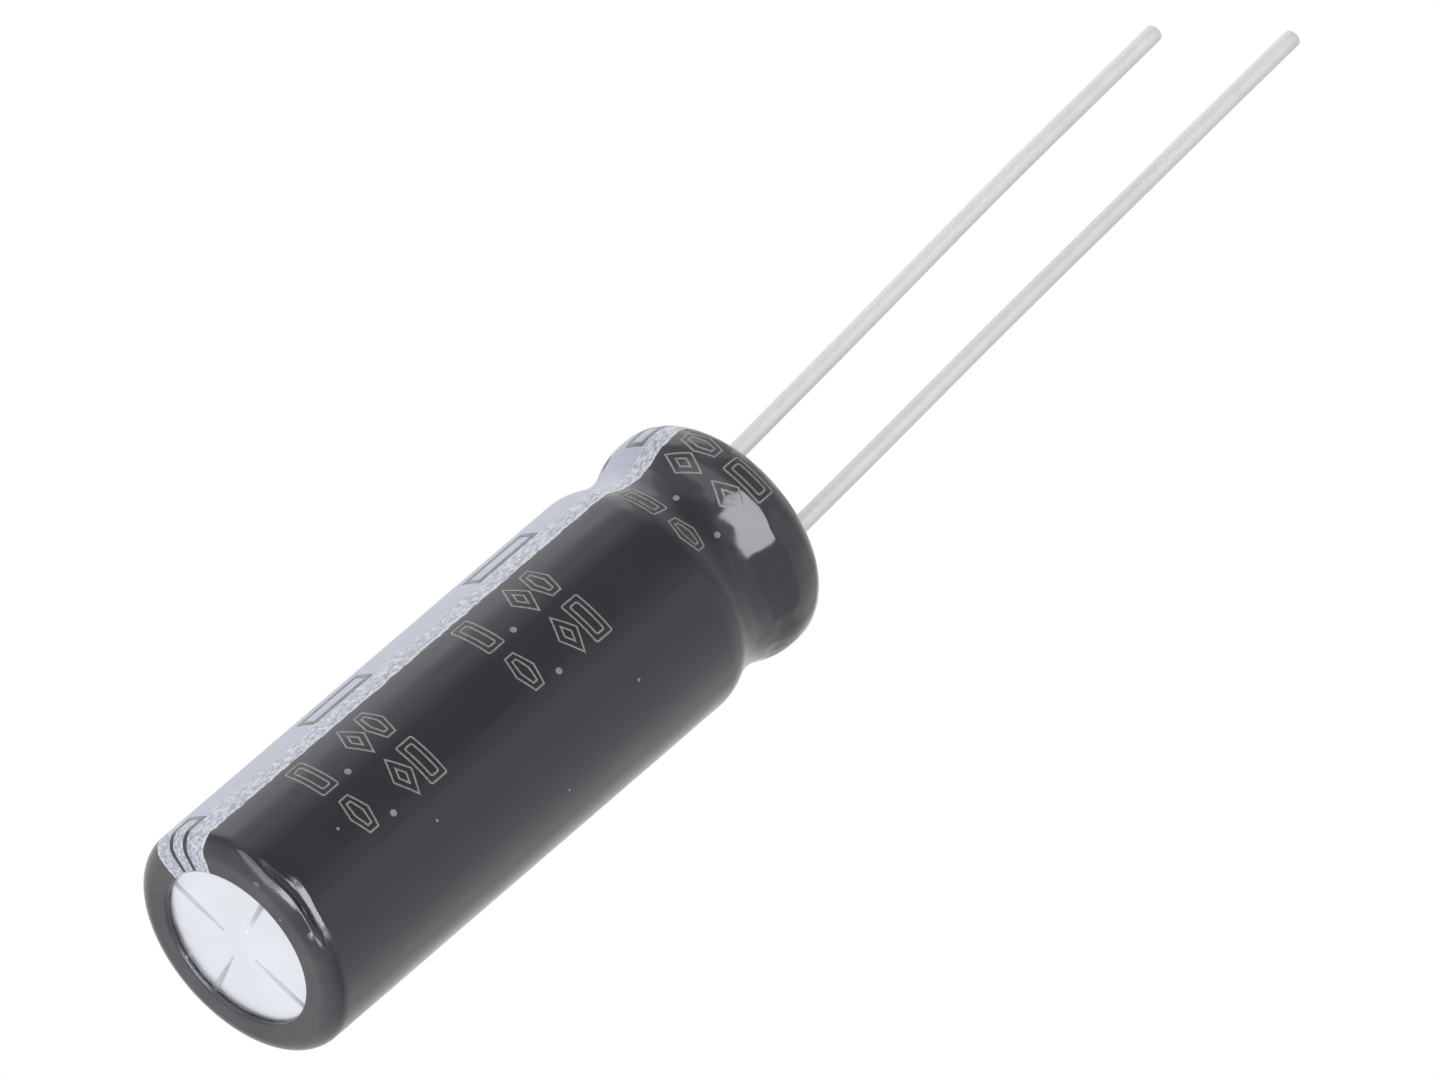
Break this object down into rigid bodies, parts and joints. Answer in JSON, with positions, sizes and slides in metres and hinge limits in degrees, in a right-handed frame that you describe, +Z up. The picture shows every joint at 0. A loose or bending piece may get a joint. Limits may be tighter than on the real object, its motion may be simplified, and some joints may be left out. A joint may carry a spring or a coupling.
{
  "type": "supercapacitor",
  "caption": "Radial-lead supercapacitor cell: a sleeved aluminium can with a scored vent in its base, a rubber seal in its mouth and two wire leads.",
  "frame": {"origin": "centre of the ring that the cell stands on, at the sleeve's base lip", "axes": "+Z up along the can, from its vented base to the leads; -X towards the negative lead, under the sleeve's stripe"},
  "size_m": [0.0084, 0.0084, 0.0531],
  "materials": {
    "sleeve_print": "glossy black heat-shrunk film with a pale polarity stripe",
    "can_aluminium": "bright drawn aluminium",
    "seal_rubber": "matt moulded",
    "roll_carbon": "carbon-coated foil between paper separators",
    "tape_film": "smooth adhesive film",
    "terminal_aluminium": "forged, satin",
    "tinned_wire": "tin-plated, bright satin"
  },
  "bodies": {
    "root": {"sleeve": "sleeve_print", "can": "can_aluminium", "rubber_seal": "seal_rubber", "wound_element": "roll_carbon", "fixing_tape": "tape_film", "positive_terminal": "terminal_aluminium", "negative_terminal": "terminal_aluminium", "positive_lead": "tinned_wire", "negative_lead": "tinned_wire"}
  },
  "joints": []
}
